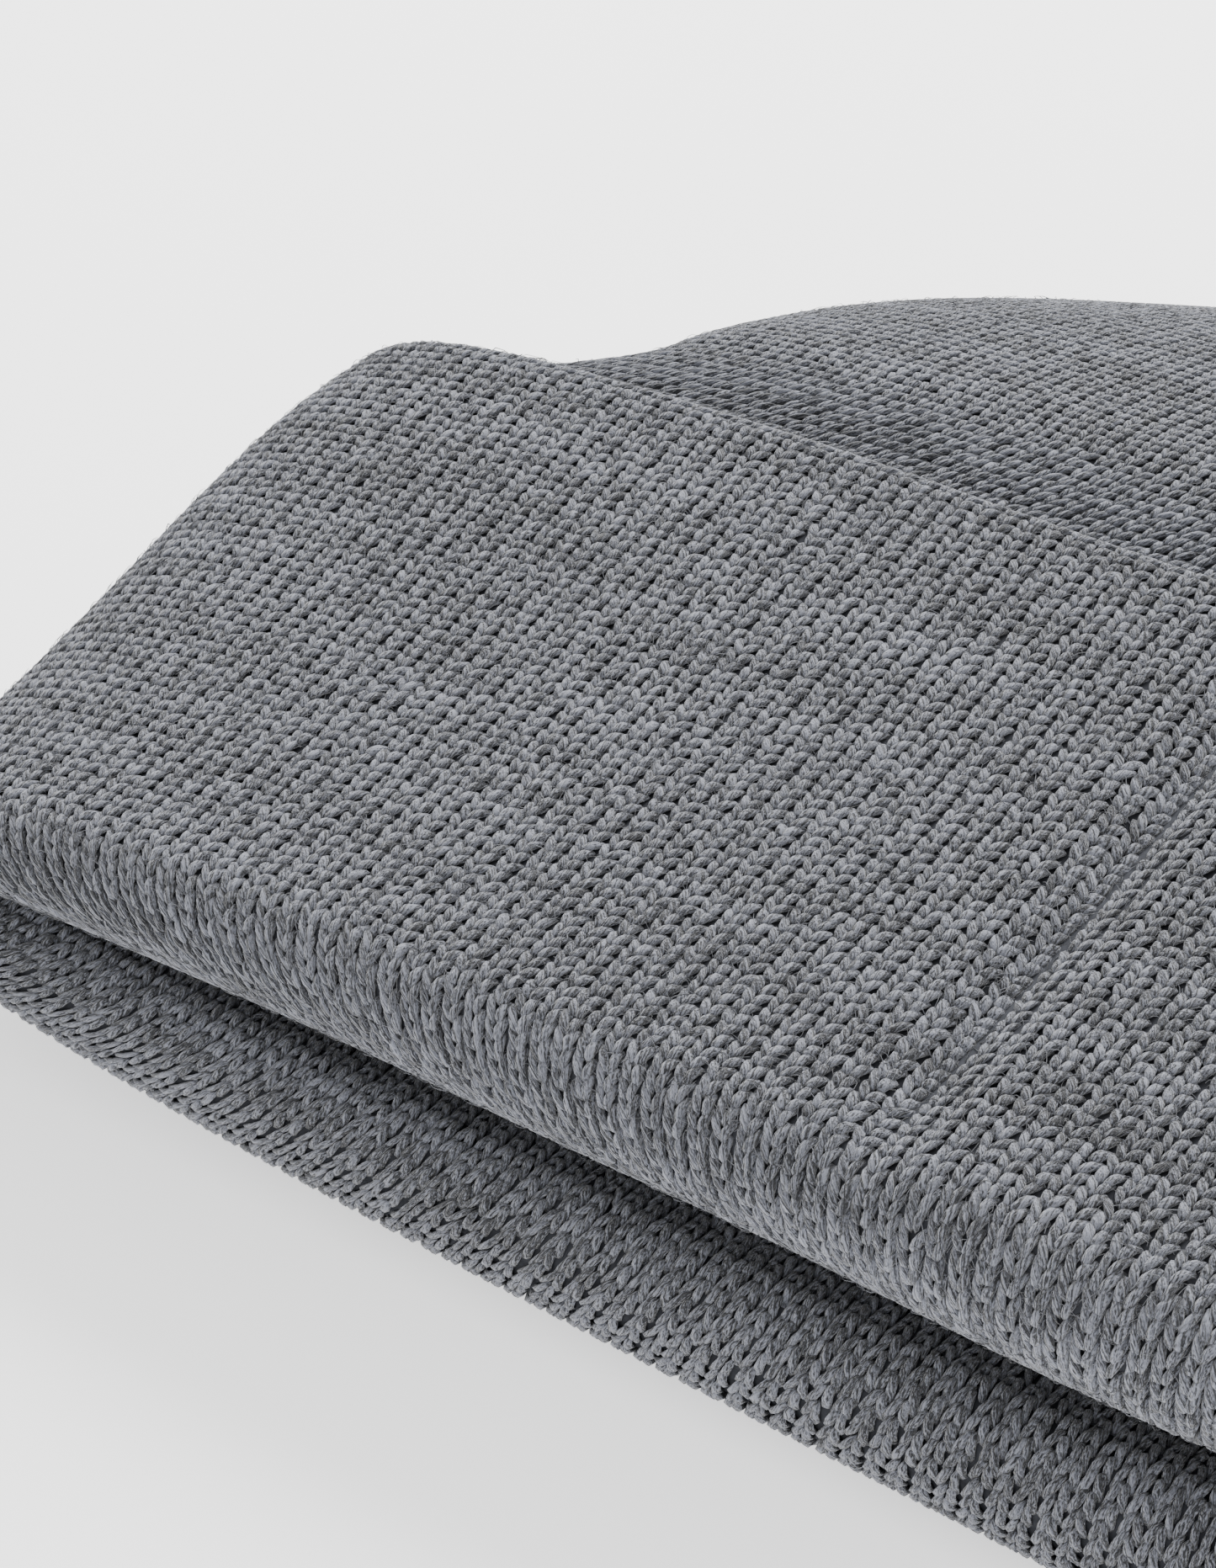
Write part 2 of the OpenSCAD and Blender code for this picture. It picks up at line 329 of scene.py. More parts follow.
def shell_strip():
    b = np.arange(SHELL_ROWS + 1.0)[:, None]
    y = SHELL_Y + b / SHELL_ROWS * (GORE_Y - SHELL_Y)
    return round_strip(lambda psi: y + 0 * psi, lambda psi: 0 * (psi + y))


DART_DIP = 0.5              # how far the knit sinks along a dart
DART_WIDTH = 1.6
DART_MARGIN = 0.1           # stitches stop this close to a dart, in wales


def gore_strip(quarter, d=0.0, inward=False):
    """One gore: its wales stay parallel to its middle and run out along the darts."""
    psi0 = quarter * HALF_TURN / 2
    centre = psi0 + HALF_TURN / 4
    fine = np.linspace(GORE_Y, TIP_Y + d - 0.02, 1500)
    line = hat_point(np.full_like(fine, centre), fine, np.full_like(fine, d))
    length = np.concatenate([[0], np.cumsum(np.linalg.norm(np.diff(line, axis=0), axis=-1))])
    rows = round(length[-1] / COURSE)
    y = np.interp(np.linspace(0, length[-1], rows + 1), length, fine)[:, None]

    def fractions(total):
        spacing = total[0] / QUARTER
        return np.clip(0.5 + (np.arange(QUARTER + 1.0) - QUARTER / 2)[None, :] * spacing / total, 0, 1)

    points, total = spaced(psi0, psi0 + HALF_TURN / 2, lambda p: y + 0 * p, lambda p: d + 0 * (p + y),
                           fractions)
    room = (total / total[0] * QUARTER / 2)[:, 0]
    if inward:
        points, room = points[::-1], room[::-1]
    fabric = Fabric(points)
    fabric.room = room          # wales from the gore's middle to its darts
    edge = fabric.room[:, None] - np.abs(np.arange(QUARTER + 1.0) - QUARTER / 2)[None, :]
    dip = DART_DIP * np.exp(-np.maximum(edge, 0) ** 2 / DART_WIDTH ** 2)
    fabric.points = fabric.points - dip[..., None] * fabric.normals
    return fabric


# ---------------------------------------------------------------- stitches

# A leg runs from the foot of its stitch, near the wale's middle, up and outwards; wales, courses, mm
LEG_FOOT = 0.06             # from the wale's middle to its foot
LEG_SPREAD = 0.36           # and on to its end
LEG_START = -0.46
LEG_RISE = 2.02
LEG_START_H = -0.46         # height of its foot, which lies over the stitch below
LEG_END_H = -0.94           # and of its end, under the stitch above
LEG_ARCH = 0.42
LEG_PEAK = 0.88             # below 1 the leg is highest nearer its foot
LEG_TRIM = 0.06             # its rings keep this far from its ends, as a share of its length
LEG_TIP = 0.30              # how much of its thickness is left at an end
LEG_HALF_W = 0.205          # half its width, in wales
LEG_HALF_H = 0.30
TWIST = 3.4                 # turn of the fibres along the leg, radians


def leg_template(side, sides, rings):
    """Vertices (wale, course, height, fibre x, fibre y, along) and faces of one leg."""
    s = LEG_TRIM + (1 - 2 * LEG_TRIM) * (np.arange(rings) + 0.5) / rings

    def middle(t):
        across = side * (LEG_FOOT + LEG_SPREAD * t)
        arch = LEG_ARCH * math.sin(min(t, 1) ** LEG_PEAK * HALF_TURN) ** 0.8
        return across, LEG_START + LEG_RISE * t, LEG_START_H + (LEG_END_H - LEG_START_H) * t ** 1.5 + arch

    verts = []
    for t in s:
        x, y, h = middle(t)
        x2, y2, _ = middle(t + 0.01)
        tx, ty = (x2 - x) * WALE, (y2 - y) * COURSE
        tx, ty = np.array([tx, ty]) / math.hypot(tx, ty)
        full = LEG_TIP + (1 - LEG_TIP) * (1 - abs(2 * t - 1) ** 2.6) ** 0.5
        for k in range(sides):
            angle = 2 * HALF_TURN * k / sides
            across, up = math.cos(angle) * full, math.sin(angle) * full
            verts.append((x + across * LEG_HALF_W * ty, y - across * LEG_HALF_W * tx * WALE / COURSE,
                          h + up * LEG_HALF_H,
                          math.cos(angle + TWIST * t), math.sin(angle + TWIST * t), t))
    for t in (0.0, 1.0):
        x, y, h = middle(t)
        verts.append((x, y, h - 0.04, 0, 0, t))
    faces = []
    for i in range(rings - 1):
        for k in range(sides):
            m = (k + 1) % sides
            faces.append((i * sides + k, i * sides + m, (i + 1) * sides + m, (i + 1) * sides + k))
    caps = []
    first, last = rings * sides, rings * sides + 1
    for k in range(sides):
        m = (k + 1) % sides
        caps.append((first, m, k))
        caps.append((last, (rings - 1) * sides + k, (rings - 1) * sides + m))
    return np.array(verts), np.array(faces), np.array(caps)


# Sides and rings of a leg
LODS = {"close": (7, 4), "fine": (6, 4), "plain": (5, 3), "spare": (4, 2), "hidden": (3, 2)}
TEMPLATES = {name: [leg_template(side, *counts) for side in (-1, 1)] for name, counts in LODS.items()}
MAX_TRIANGLES = 190000      # in one piece
STITCH_MIDDLE = 0.3         # in courses: about this point a stitch leans and stretches
MAX_CREST = 0.06            # no leg's middle line is higher, in millimetres
LEG_VARIETY = (0.09, 0.06, 0.07)   # how much legs differ in width, length and thickness
LEG_DRIFT = (0.06, 0.03, 0.06)     # and in lean and place, across and along
LEG_TONE = 0.55             # how much one leg's tone differs from the next
TWIST_VARIETY = 50.0        # the fibres' pattern starts anywhere in this span


def streaks(a, b, seed):
    """Melange: each course's yarn changes tone slowly along its length, and runs of courses go together."""
    r = np.random.default_rng(seed)
    long_run = r.normal(size=(40, 24))
    fine_run = r.normal(size=(400, 60))

    def sample(table, u, v):
        u, v = np.mod(u, table.shape[0] - 1), np.mod(v, table.shape[1] - 1)
        i, j = np.floor(u).astype(int), np.floor(v).astype(int)
        fu, fv = smooth(u - i), smooth(v - j)
        return ((table[i, j] * (1 - fu) + table[i + 1, j] * fu) * (1 - fv)
                + (table[i, j + 1] * (1 - fu) + table[i + 1, j + 1] * fu) * fv)

    return 0.6 * sample(long_run, b / 3.0, a / 18.0) + 0.9 * sample(fine_run, b, a / 9.0)


def stitch_legs(fabric, wales, courses, lod, seed):
    """Vertices, faces and yarn attributes of all the stitches in a block of knit."""
    r = np.random.default_rng(seed)
    a, b = np.meshgrid(np.arange(*wales) + 0.5, np.arange(*courses) + 0.5)
    a, b = a.ravel(), b.ravel()
    first, last = fabric.span(wales, b)
    inside = (a > first + DART_MARGIN) & (a < last - DART_MARGIN)
    a, b = a[inside], b[inside]
    tone = streaks(a, b, 11)
    all_v, all_q, all_t, all_yarn, all_tone = [], [], [], [], []
    start = 0
    for verts, faces, caps in TEMPLATES[lod]:
        n, m = len(a), len(verts)
        wide, tall, thick = 1 + r.normal(size=(3, n, 1)) * np.reshape(LEG_VARIETY, (3, 1, 1))
        lean, slip, rise = r.normal(size=(3, n, 1)) * np.reshape(LEG_DRIFT, (3, 1, 1))
        x = verts[None, :, 0] * wide + lean * (verts[None, :, 1] - STITCH_MIDDLE) + slip
        y = (verts[None, :, 1] - STITCH_MIDDLE) * tall + STITCH_MIDDLE + rise
        h = verts[None, :, 2] * thick
        points = fabric.at(a[:, None] + x, b[:, None] + y, np.minimum(h, MAX_CREST))
        all_v.append(points.reshape(-1, 3))
        offset = (start + np.arange(n) * m)[:, None, None]
        all_q.append((offset + faces[None]).reshape(-1, 4))
        all_t.append((offset + caps[None]).reshape(-1, 3))
        yarn = np.empty((n, m, 3))
        yarn[..., 0] = verts[None, :, 3] + r.uniform(0, TWIST_VARIETY, size=(n, 1))
        yarn[..., 1] = verts[None, :, 4]
        yarn[..., 2] = verts[None, :, 5] + r.uniform(0, TWIST_VARIETY, size=(n, 1))
        all_yarn.append(yarn.reshape(-1, 3))
        all_tone.append(np.repeat(tone + r.normal(size=n) * LEG_TONE, m))
        start += n * m
    return [np.concatenate(parts) for parts in (all_v, all_q, all_t, all_yarn, all_tone)]


def tubes(paths, radii, sides):
    """Closed tubes along paths[tube, point]: vertices, walls, end caps and the yarn attribute."""
    n, m = paths.shape[:2]
    along = np.gradient(paths, axis=1)
    along /= np.maximum(np.linalg.norm(along, axis=-1, keepdims=True), 1e-9)
    across = np.cross(along, np.array([0.31, 0.22, 0.92]))
    across /= np.maximum(np.linalg.norm(across, axis=-1, keepdims=True), 1e-9)
    over = np.cross(along, across)
    angle = 2 * HALF_TURN * np.arange(sides) / sides
    ring = np.cos(angle)[:, None] * across[:, :, None] + np.sin(angle)[:, None] * over[:, :, None]
    points = paths[:, :, None] + radii[:, :, None, None] * ring
    k = np.arange(n * m * sides).reshape(n, m, sides)
    after = np.roll(k, -1, axis=2)
    walls = np.stack([k[:, :-1], after[:, :-1], after[:, 1:], k[:, 1:]], -1).reshape(-1, 4)
    caps = np.concatenate([k[:, 0, ::-1], k[:, -1]])
    yarn = np.stack(np.broadcast_arrays(np.cos(angle) + 7.0 * np.arange(n)[:, None, None], np.sin(angle),
                                        np.arange(m)[None, :, None] * 0.3), -1)
    return points.reshape(-1, 3), walls, caps, yarn.reshape(-1, 3)


def new_mesh(name, points, faces, smooth_shaded=True):
    """A mesh object from millimetre points and lists of faces, each an array of equal-sided faces."""
    mesh = bpy.data.meshes.new(name)
    sizes = np.concatenate([np.full(len(f), f.shape[1]) for f in faces if len(f)])
    loops = np.concatenate([f.ravel() for f in faces if len(f)])
    mesh.vertices.add(len(points))
    mesh.vertices.foreach_set("co", (points * MM).astype(np.float32).ravel())
    mesh.loops.add(len(loops))
    mesh.loops.foreach_set("vertex_index", loops.astype(np.int32))
    mesh.polygons.add(len(sizes))
    starts = np.concatenate([[0], np.cumsum(sizes)[:-1]])
    mesh.polygons.foreach_set("loop_start", starts.astype(np.int32))
    mesh.polygons.foreach_set("use_smooth", np.full(len(sizes), smooth_shaded))
    mesh.update(calc_edges=True)
    obj = bpy.data.objects.new(name, mesh)
    bpy.context.scene.collection.objects.link(obj)
    return obj


def set_attribute(obj, name, kind, values):
    field = "vector" if kind == "FLOAT_VECTOR" else "value"
    attribute = obj.data.attributes.new(name, kind, "POINT")
    attribute.data.foreach_set(field, values.astype(np.float32).ravel())


def yarn_object(name, points, faces, yarn, tone, material):
    obj = new_mesh(name, points, faces)
    set_attribute(obj, "yarn", "FLOAT_VECTOR", yarn)
    set_attribute(obj, "tone", "FLOAT", tone)
    obj.data.materials.append(material)
    return obj


def tube_object(name, paths, radii, sides, tone, material):
    points, walls, caps, yarn = tubes(paths, radii, sides)
    tone = np.repeat(tone, len(points) // len(paths))
    return yarn_object(name, points, [walls, caps], yarn, tone, material)


def stitches(name, fabric, wales, courses, lod, material):
    """Stitches over a block of knit, as one piece or as many as their number of faces needs."""
    sides, rings = LODS[lod]
    per_course = (wales[1] - wales[0]) * 2 * 2 * sides * rings
    blocks = max(1, math.ceil((courses[1] - courses[0]) * per_course / MAX_TRIANGLES))
    bounds = np.linspace(*courses, blocks + 1).round().astype(int)
    pieces = []
    for i, rows in enumerate(zip(bounds[:-1], bounds[1:])):
        seed = sum(map(ord, name)) * 10 + i
        points, quads, tris, yarn, tone = stitch_legs(fabric, wales, rows, lod, seed)
        label = f"{name}_stitches" if blocks == 1 else f"{name}_stitches_{'abcdef'[i]}"
        pieces.append(yarn_object(label, points, [quads, tris], yarn, tone, material))
    return pieces


def fuzz(name, fabric, wales, courses, material, density):
    """Loose fibres that stand a little off the knit, most of them along its wales."""
    r = np.random.default_rng(sum(map(ord, name)))
    n = int(density * (wales[1] - wales[0]) * (courses[1] - courses[0]))
    s = np.linspace(0, 1, FUZZ_POINTS)[None, :]
    a, b = r.uniform(*wales, size=(n, 1)), r.uniform(*courses, size=(n, 1))
    length, lift = r.uniform(*FUZZ_LENGTH, size=(n, 1)), r.uniform(*FUZZ_LIFT, size=(n, 1))
    heading = r.choice([-1, 1], size=(n, 1)) * FUZZ_LEAN + r.normal(size=(n, 1)) * FUZZ_STRAY
    heading = heading + r.normal(size=(n, 1)) * s
    a = np.clip(a + np.cumsum(np.sin(heading), 1) * length / FUZZ_POINTS / WALE, wales[0], wales[1])
    b = np.clip(b + np.cumsum(np.cos(heading), 1) * length / FUZZ_POINTS / COURSE, courses[0], courses[1])
    paths = fabric.at(a, b, FUZZ_ROOT + lift * np.sin(HALF_TURN * s * r.uniform(0.5, 1, size=(n, 1))))
    radii = FUZZ_R * (1 - 0.6 * s ** 2) * r.uniform(0.7, 1.3, size=(n, 1))
    return tube_object(f"{name}_fibres", paths, radii, 3, r.normal(size=n) * FUZZ_TONE + 1.0, material)


def sheet_mesh(name, upper, lower, material):
    """A closed sheet between two grids of points."""
    rows, cols = upper.shape[:2]
    k = np.arange(rows * cols).reshape(rows, cols)
    quads = np.stack([k[:-1, :-1], k[1:, :-1], k[1:, 1:], k[:-1, 1:]], -1).reshape(-1, 4)
    rim = np.concatenate([k[0, :], k[1:, -1], k[-1, -2::-1], k[-2:0:-1, 0]])
    walls = np.stack([rim, np.roll(rim, -1), np.roll(rim, -1) + k.size, rim + k.size], -1)
    obj = new_mesh(name, np.concatenate([upper.reshape(-1, 3), lower.reshape(-1, 3)]),
                   [quads, quads[:, ::-1] + k.size, walls])
    obj.data.materials.append(material)
    return obj


def cloth(name, fabric, wales, courses, material):
    """The closed sheet of knit under the stitches."""
    b = np.linspace(*courses, max(2, round((courses[1] - courses[0]) / 2) + 1))[:, None]
    first, last = fabric.span(wales, b)
    a = first + (last - first) * np.linspace(0, 1, (wales[1] - wales[0]) // 2 + 1)[None, :]
    b = b + 0 * a
    return sheet_mesh(name, fabric.at(a, b, np.full_like(a, -LOW_CLOTH)),
                      fabric.at(a, b, np.full_like(a, -LOW_CLOTH - CLOTH_T)), material)


# ---------------------------------------------------------------- materials

def knit_material(name, colour, spread=0.86):
    """Marl yarn: light and dark fibres twisted along each leg, with the tone of its course."""
    material = bpy.data.materials.new(name)
    material.use_nodes = True
    tree = material.node_tree
    nodes, link = tree.nodes, tree.links.new
    shader = nodes["Principled BSDF"]
    shader.inputs["Roughness"].default_value = 0.88
    shader.inputs["Specular IOR Level"].default_value = 0.25
    shader.inputs["Sheen Weight"].default_value = 0.35
    shader.inputs["Sheen Roughness"].default_value = 0.5
    yarn = nodes.new("ShaderNodeAttribute")
    yarn.attribute_name = "yarn"
    tone = nodes.new("ShaderNodeAttribute")
    tone.attribute_name = "tone"
    stretch = nodes.new("ShaderNodeMapping")
    stretch.inputs["Scale"].default_value = (1.7, 1.7, 0.42)
    fibres = nodes.new("ShaderNodeTexNoise")
    fibres.inputs["Scale"].default_value = 1.6
    fibres.inputs["Detail"].default_value = 1.5
    fibres.inputs["Roughness"].default_value = 0.6
    mixed = nodes.new("ShaderNodeMath")
    mixed.operation = "MULTIPLY_ADD"
    mixed.inputs[1].default_value = 0.03
    ramp_node = nodes.new("ShaderNodeValToRGB")
    stops = ramp_node.color_ramp.elements
    dark, light = np.array(colour) * (1 - spread), np.array(colour) * (1 + spread)
    stops[0].position, stops[1].position = 0.41, 0.61
    stops[0].color, stops[1].color = (*dark, 1), (*light, 1)
    bump = nodes.new("ShaderNodeBump")
    bump.inputs["Strength"].default_value = 1.0
    bump.inputs["Distance"].default_value = 0.0003
    link(yarn.outputs["Vector"], stretch.inputs["Vector"])
    link(stretch.outputs["Vector"], fibres.inputs["Vector"])
    link(tone.outputs["Fac"], mixed.inputs[0])
    link(fibres.outputs["Fac"], mixed.inputs[2])
    link(mixed.outputs[0], ramp_node.inputs["Fac"])
    link(ramp_node.outputs["Color"], shader.inputs["Base Color"])
    link(fibres.outputs["Fac"], bump.inputs["Height"])
    link(bump.outputs["Normal"], shader.inputs["Normal"])
    return material


def cloth_material(name, colour):
    """The knit between the stitches, where the heads of the loops lie, in a dark colour that is painted
    shade between the legs.
    """
    material = bpy.data.materials.new(name)
    material.use_nodes = True
    tree = material.node_tree
    nodes, link = tree.nodes, tree.links.new
    shader = nodes["Principled BSDF"]
    shader.inputs["Roughness"].default_value = 0.95
    shader.inputs["Specular IOR Level"].default_value = 0.1
    place = nodes.new("ShaderNodeTexCoord")
    grain = nodes.new("ShaderNodeTexNoise")
    grain.inputs["Scale"].default_value = 1800
    ramp_node = nodes.new("ShaderNodeValToRGB")
    stops = ramp_node.color_ramp.elements
    stops[0].color, stops[1].color = (*(np.array(colour) * 0.6), 1), (*(np.array(colour) * 1.4), 1)
    link(place.outputs["Object"], grain.inputs["Vector"])
    link(grain.outputs["Fac"], ramp_node.inputs["Fac"])
    link(ramp_node.outputs["Color"], shader.inputs["Base Color"])
    return material


def tape_material(name, colour):
    """Woven satin tape: fine ribs along its length."""
    material = bpy.data.materials.new(name)
    material.use_nodes = True
    nodes, link = material.node_tree.nodes, material.node_tree.links.new
    shader = nodes["Principled BSDF"]
    shader.inputs["Roughness"].default_value = 0.42
    shader.inputs["Sheen Weight"].default_value = 0.2
    place = nodes.new("ShaderNodeTexCoord")
    ribs = nodes.new("ShaderNodeTexWave")
    ribs.inputs["Scale"].default_value = 900
    ribs.inputs["Distortion"].default_value = 1.5
    ramp_node = nodes.new("ShaderNodeValToRGB")
    stops = ramp_node.color_ramp.elements
    stops[0].color, stops[1].color = (*(0.82 * c for c in colour), 1), (*colour, 1)
    bump = nodes.new("ShaderNodeBump")
    bump.inputs["Strength"].default_value = 0.5
    bump.inputs["Distance"].default_value = 0.00005
    link(place.outputs["Object"], ribs.inputs["Vector"])
    link(ribs.outputs["Fac"], ramp_node.inputs["Fac"])
    link(ramp_node.outputs["Color"], shader.inputs["Base Color"])
    link(ribs.outputs["Fac"], bump.inputs["Height"])
    link(bump.outputs["Normal"], shader.inputs["Normal"])
    return material


GREY = (0.099, 0.104, 0.124)
yarn_material = knit_material("marl_yarn", GREY)
lining_material = knit_material("lining_yarn", tuple(0.9 * c for c in GREY))
thread_material = knit_material("sewing_thread", tuple(1.1 * c for c in GREY), spread=0.3)
label_material = tape_material("label_tape", (0.75, 0.75, 0.74))
# painted shade: the cloth under the stitches is far darker than the yarn, standing in for the shade between
# the legs
painted_shade_cloth_material = cloth_material("knit_under_stitches_painted_shade", (0.045, 0.047, 0.054))


# ---------------------------------------------------------------- blocks of knit: their transforms and sizes


def bend_at_side(piece):
    """Bakes the piece's transform into its mesh."""
    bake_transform(piece)


def bend_flap(piece):
    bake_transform(piece)


QUARTERS = {"front_right": 0, "front_left": 1, "back_left": 2, "back_right": 3}


LEAST_AREA = 0.31           # of width times length, for a piece that narrows


def cut_size(fabric, wales, courses):
    """Width, length and area of a block of knit laid flat; a gore's are measured on its own surface."""
    if fabric.room is None:
        width, length = (wales[1] - wales[0]) * WALE, (courses[1] - courses[0]) * COURSE
        return width, length, width * length
    b = np.arange(courses[0], courses[1] + 1.0)[:, None]
    first, last = fabric.span(wales, b)
    a = first + (last - first) * np.linspace(0, 1, QUARTER + 1)[None, :]
    grid = fabric.at(a, b + 0 * a, 0 * a)
    across, along = np.diff(grid, axis=1)[:-1], np.diff(grid, axis=0)[:, :-1]
    width = np.linalg.norm(across, axis=-1).sum(1).max()
    length = np.linalg.norm(along, axis=-1).sum(0).max()
    area = np.linalg.norm(np.cross(across, along), axis=-1).sum()
    return width, length, float(np.clip(area, LEAST_AREA * width * length, width * length))


def section(where, part, fabric, wales, courses, lod, kit, nodes,
            fibres=False, flap=False, extras=None):
    """One block of knit: its cloth, stitches and fibres, their transforms baked into their meshes.

    With extras None it is a fold's narrow strip, and its pieces are given back.
    """
    q = QUARTERS[where]
    name = f"{where}_{part}"
    material, slot = kit
    # the cloth is a dark sheet of painted shade under the stitches
    base = cloth(f"{name}_cloth", fabric, wales, courses, painted_shade_cloth_material)
    knit = stitches(name, fabric, wales, courses, lod, material)
    if fibres:
        knit.append(fuzz(name, fabric, wales, courses, material, FUZZ_PER_STITCH[lod]))
    side = wales[0] if q in (0, 2) else wales[1]
    ends = fabric.at(np.full(2, float(side)), np.array(courses, float), np.zeros(2))[:, :2]
    for piece in [base, *knit]:
        if flap:
            bend_flap(piece)
        else:
            bend_at_side(piece)
    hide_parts(*nodes)
    if extras is None:
        return [base, *knit]
    width, length, area = cut_size(fabric, wales, courses)
    return []


# ---------------------------------------------------------------- the knit, quarter by quarter

fold = fold_strip()
shell = shell_strip()
KNIT = (yarn_material, "marl_knit")
LINING = (lining_material, "lining_knit")


def course_at(fabric, side_column, y):
    """The course where a strip's column passes station y, its courses running towards +Y."""
    return int(np.searchsorted(fabric.points[:, side_column, 1], y + CENTRE_Y))


SHELL_STEPS = [0, round(SHELL_OPEN_B), course_at(shell, 0, EDGE_Y),
               course_at(shell, 0, EDGE_Y + SHOULDER_LENGTH), SHELL_ROWS]
LINING_STEPS = [0, round((GORE_Y - EDGE_Y - SHOULDER_LENGTH) / COURSE), round((GORE_Y - EDGE_Y) / COURSE),
                LINING_ROWS]
RIM_STEPS = [LINING_ROWS, round(RIM_B), CUFF_B]
GORE_SPLITS = (60.0, 85.0)     # the gores bend in stretches that end at these stations


gores = {}


def make_quarter(where, q):
    """All the knit of one quarter of the hat: rim, lining, cuff, shell and gores."""
    front = where.startswith("front")
    half, side = where.split("_")
    span = (q * QUARTER, (q + 1) * QUARTER)
    near = {"front_left": "close", "front_right": "fine"}.get(where, "hidden")
    far = {"front_left": "fine", "front_right": "plain"}.get(where, "hidden")
    rolls = []
    for part, rows in zip(("inner_roll", "outer_roll"), zip(RIM_STEPS[:-1], RIM_STEPS[1:])):
        lod = near if front else "plain"
        rolls += section(where, part, fold, span, rows, lod, KNIT, [f"{half}_rim_fold"],
                         fibres=front)
    for i, rows in enumerate(zip(LINING_STEPS[:-1], LINING_STEPS[1:])):
        last = i == len(LINING_STEPS) - 2
        section(where, f"lining_{i + 1}", fold, span, rows, "spare" if last else "hidden", LINING,
                [f"{half}_lining"], extras=rolls if last else [])
    if front:
        inner, outer = ((span[0], span[0] + FLAP_WALES), (span[0] + FLAP_WALES, span[1]))
        if side == "right":
            outer, inner = ((span[0], span[1] - FLAP_WALES), (span[1] - FLAP_WALES, span[1]))
        cuffs = [("cuff_flap", inner, "cuff_front", True), ("cuff_side", outer, f"cuff_{side}", False)]
    else:
        cuffs = [("cuff", span, "cuff_back", False)]
    for part, wales, node, flap in cuffs:
        edge = section(where, f"{part}_edge", fold, wales, (EDGE_B, BACKING_B), near, KNIT, [f"{node}_face"],
                       front, flap)
        section(where, part, fold, wales, (CUFF_B, EDGE_B), near, KNIT, [f"{node}_face"],
                front, flap, edge)
        section(where, f"{part}_backing", fold, wales, (BACKING_B, END_B), "hidden", KNIT,
                [f"{node}_backing"], False, flap, [])
    for i, rows in enumerate(zip(SHELL_STEPS[:-1], SHELL_STEPS[1:])):
        lod = ("spare" if front else "hidden") if i == 0 else far
        section(where, f"shell_{i + 1}", shell, span, rows, lod, KNIT, [f"{half}_body"],
                front and i > 0, extras=[])
    for part, gore, kit, lod, node in (
            ("gore", gore_strip(q), KNIT, "plain" if front else "hidden", f"{where}_gore"),
            ("lining_gore", gore_strip(q, -DOUBLE_PLY, inward=True), LINING, "hidden",
             f"{half}_lining_gore")):
        middle = gore.points[:, QUARTER // 2, 1] - CENTRE_Y
        splits = sorted(int(np.abs(middle - y).argmin()) for y in GORE_SPLITS)
        steps = [0, *splits, len(gore.points) - 1]
        for i, rows in enumerate(zip(steps[:-1], steps[1:])):
            section(where, f"{part}_{i + 1}", gore, (0, QUARTER), rows, lod, kit, [node],
                    extras=[])
        if part == "gore":
            gores[q] = gore


for where, q in QUARTERS.items():
    make_quarter(where, q)


# ---------------------------------------------------------------- seams, gathers and label

def dart_seam(name, left, right, node):
    """Threads that cross a dart from one gore to the next, a course apart."""
    b = np.arange(1.0, min(len(left.points), len(right.points)) - 2)
    _, edge_a = left.span(None, b)
    edge_b, _ = right.span(None, b)
    h = np.zeros_like(b)
    paths = np.stack([
        left.at(edge_a - 0.9, b, h - 0.75), left.at(edge_a - 0.45, b + 0.15, h - 0.35),
        (left.at(edge_a, b + 0.3, h - 0.25) + right.at(edge_b, b + 0.3, h - 0.25)) / 2,
        right.at(edge_b + 0.45, b + 0.45, h - 0.35), right.at(edge_b + 0.9, b + 0.6, h - 0.75)], 1)
    radii = np.broadcast_to(SEAM_R * np.array([0.6, 1, 1, 1, 0.6]), paths.shape[:2])
    seam = tube_object(name, paths, radii, 6, np.zeros(len(b)), yarn_material)
    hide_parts(node)
    return seam


for i, (name, reaches) in enumerate((("front_dart_seam", "front_half"), ("left_dart_seam", None),
                                     ("back_dart_seam", "back_half"), ("right_dart_seam", None))):
    seam = dart_seam(f"{name}_threads", gores[i], gores[(i + 1) % len(QUARTERS)], name)
    if reaches:
        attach(seam, reaches)
    else:
        bend_at_side(seam)


KNOT_SHARE = 0.24            # the knot's size, as a share of its gather's radius


def gather(name, y, radius, height, loops, node):
    """A ring of drawn loops that close a crown, with a knot in their middle."""
    angle = 2 * HALF_TURN * np.arange(loops)[:, None] / loops
    s = np.linspace(0, 1, 7)[None, :]
    r, turn = radius * (1 - 0.8 * s), angle + 0.7 * s
    out = height * (-0.35 + 0.6 * np.sin(HALF_TURN * s * 0.8)) + 0 * angle
    centre_z = mid_z(np.float64(TIP_Y))
    paths = np.stack([r * np.cos(turn), y + CENTRE_Y + out, centre_z + r * np.sin(turn)], -1)
    t = np.linspace(0, 2 * HALF_TURN, 25)[None, :]
    knot = np.stack([np.sin(t) + 0.6 * np.sin(2 * t), 0 * t, np.cos(t) - 0.6 * np.cos(2 * t)], -1)
    knot = KNOT_SHARE * radius * knot + [0, y + CENTRE_Y + height * 0.3, centre_z]
    knot[..., 1] += 0.12 * height * np.sin(3 * t)
    thread = 0.21 * height + 0.05
    rings = tube_object(name, paths, np.full(paths.shape[:2], thread), 6, np.zeros(loops), thread_material)
    tie = tube_object(f"{name}_knot", knot, np.full(knot.shape[:2], thread), 6, np.zeros(1), thread_material)
    for piece in (rings, tie):
        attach(piece, "back_half")
    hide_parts(node)


gather("crown_gather_loops", TIP_Y + 0.35, 3.0, 1.4, 12, "crown_gather")
gather("lining_gather_loops", TIP_Y - DOUBLE_PLY - 2.6, 1.5, 0.8, 8, "lining_gather")


